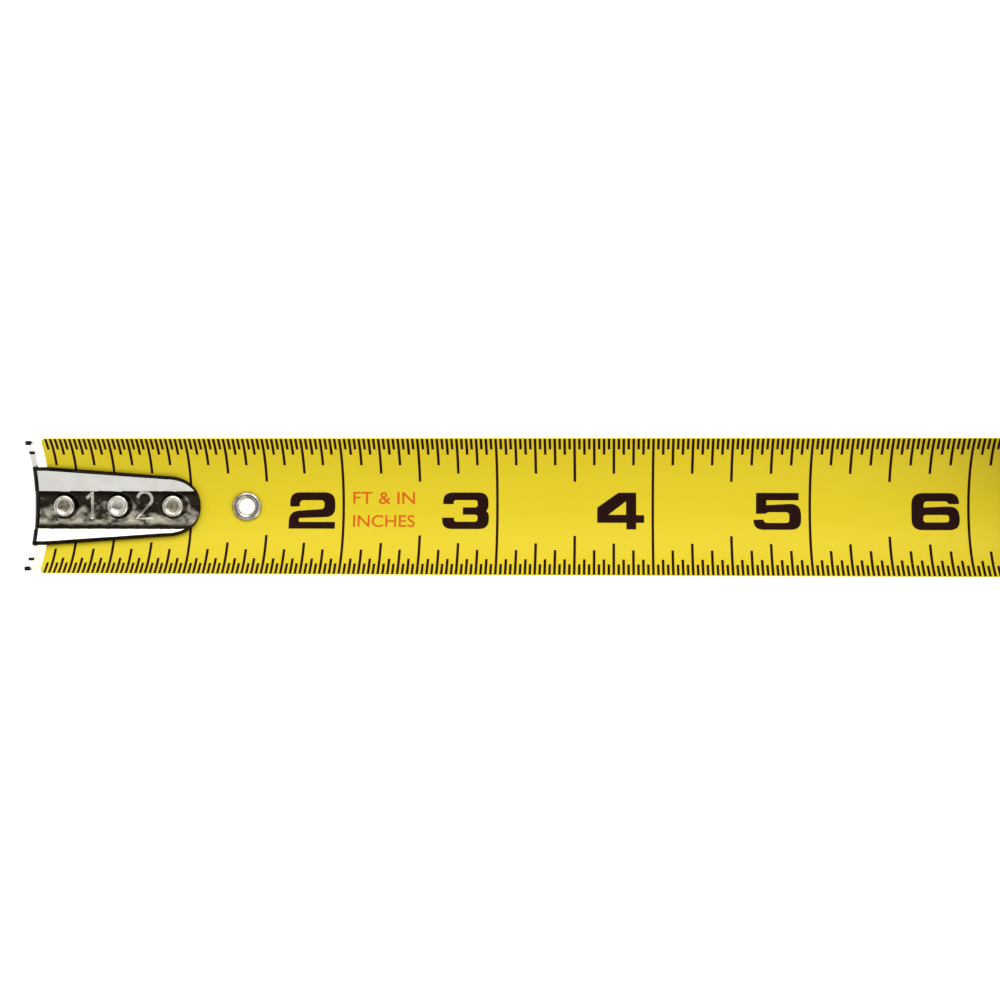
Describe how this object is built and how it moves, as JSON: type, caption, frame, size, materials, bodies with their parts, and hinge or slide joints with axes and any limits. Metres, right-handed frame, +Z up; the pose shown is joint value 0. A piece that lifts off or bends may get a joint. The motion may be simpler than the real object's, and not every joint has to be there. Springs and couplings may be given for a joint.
{
  "type": "tape measure",
  "caption": "Pocket tape measure with a cupped steel blade drawn out and locked, riveted end hook, thumb lock, rubber grips and belt clip.",
  "frame": {"origin": "middle of the case's flat base, on the parting plane of the two halves", "axes": "+Z up; the blade and its hook leave the case towards -X; +Y is the belt clip's side"},
  "size_m": [0.2478, 0.0474, 0.0756],
  "materials": {
    "case_plastic": "moulded, fine texture",
    "grip_rubber": "soft, ribbed",
    "blade_yellow": "satin paint under a clear film",
    "hook_steel": "plated, stamped",
    "rivet_steel": "plated",
    "spring_steel": "blued strip",
    "clip_steel": "satin nickel",
    "screw_steel": "black zinc",
    "drum_plastic": "natural acetal",
    "washer_plastic": "polished",
    "lock_plastic": "moulded",
    "badge_metal": "blank brushed disc"
  },
  "bodies": {
    "case": {"case_left": "case_plastic", "case_right": "case_plastic", "grip_left": "grip_rubber", "grip_right": "grip_rubber", "mouth_guide": "drum_plastic", "hook_bumper": "grip_rubber", "badge_disc": "badge_metal", "centre_post": "screw_steel", "thrust_washer_left": "washer_plastic", "thrust_washer_right": "washer_plastic", "mainspring": "spring_steel", "blade_span": "blade_yellow", "lock_detent_spring": "spring_steel", "belt_clip_mount": "clip_steel", "clip_screw": "screw_steel", "case_screw_1": "screw_steel", "case_screw_2": "screw_steel", "case_screw_3": "screw_steel", "case_screw_4": "screw_steel"},
    "blade": {"blade_tip": "blade_yellow", "hook_rivet_1": "rivet_steel", "hook_rivet_2": "rivet_steel", "hook_rivet_3": "rivet_steel", "eyelet": "rivet_steel"},
    "hook": {"end_hook": "hook_steel"},
    "drum": {"drum": "drum_plastic", "drum_cover": "drum_plastic", "blade_coil": "blade_yellow"},
    "lock": {"lock_slider": "lock_plastic", "lock_strap": "drum_plastic", "brake_shoe": "grip_rubber"},
    "clip_arm": {"belt_clip_arm": "clip_steel"}
  },
  "joints": [
    {"name": "blade_travel", "type": "slide", "parent": "case", "child": "blade", "axis": [-1, 0, 0], "range_m": [-0.165, 0], "stiffness_N_per_m": 12, "springref_m": -0.5, "deforming": ["blade_span"]},
    {"name": "drum_spin", "type": "hinge", "parent": "case", "child": "drum", "pos_m": [0.0045, 0, 0.04097], "axis": [0, 1, 0], "range_deg": [-373, 0], "deforming": ["mainspring"]},
    {"name": "hook_play", "type": "slide", "parent": "blade", "child": "hook", "axis": [1, 0, 0], "range_m": [-0.0005, 0.0005]},
    {"name": "lock_slide", "type": "slide", "parent": "case", "child": "lock", "axis": [0.592, 0, 0.8059], "range_m": [0, 0.009]},
    {"name": "belt_clip_flex", "type": "hinge", "parent": "case", "child": "clip_arm", "pos_m": [0.0045, 0.0251, 0.06], "axis": [1, 0, 0], "range_deg": [0, 8], "stiffness_Nm_per_rad": 2.1, "springref_deg": -2.86}
  ],
  "couplings": [
    {"joint": "drum_spin", "follows": "blade_travel", "rad_per_m": 39.331}
  ]
}
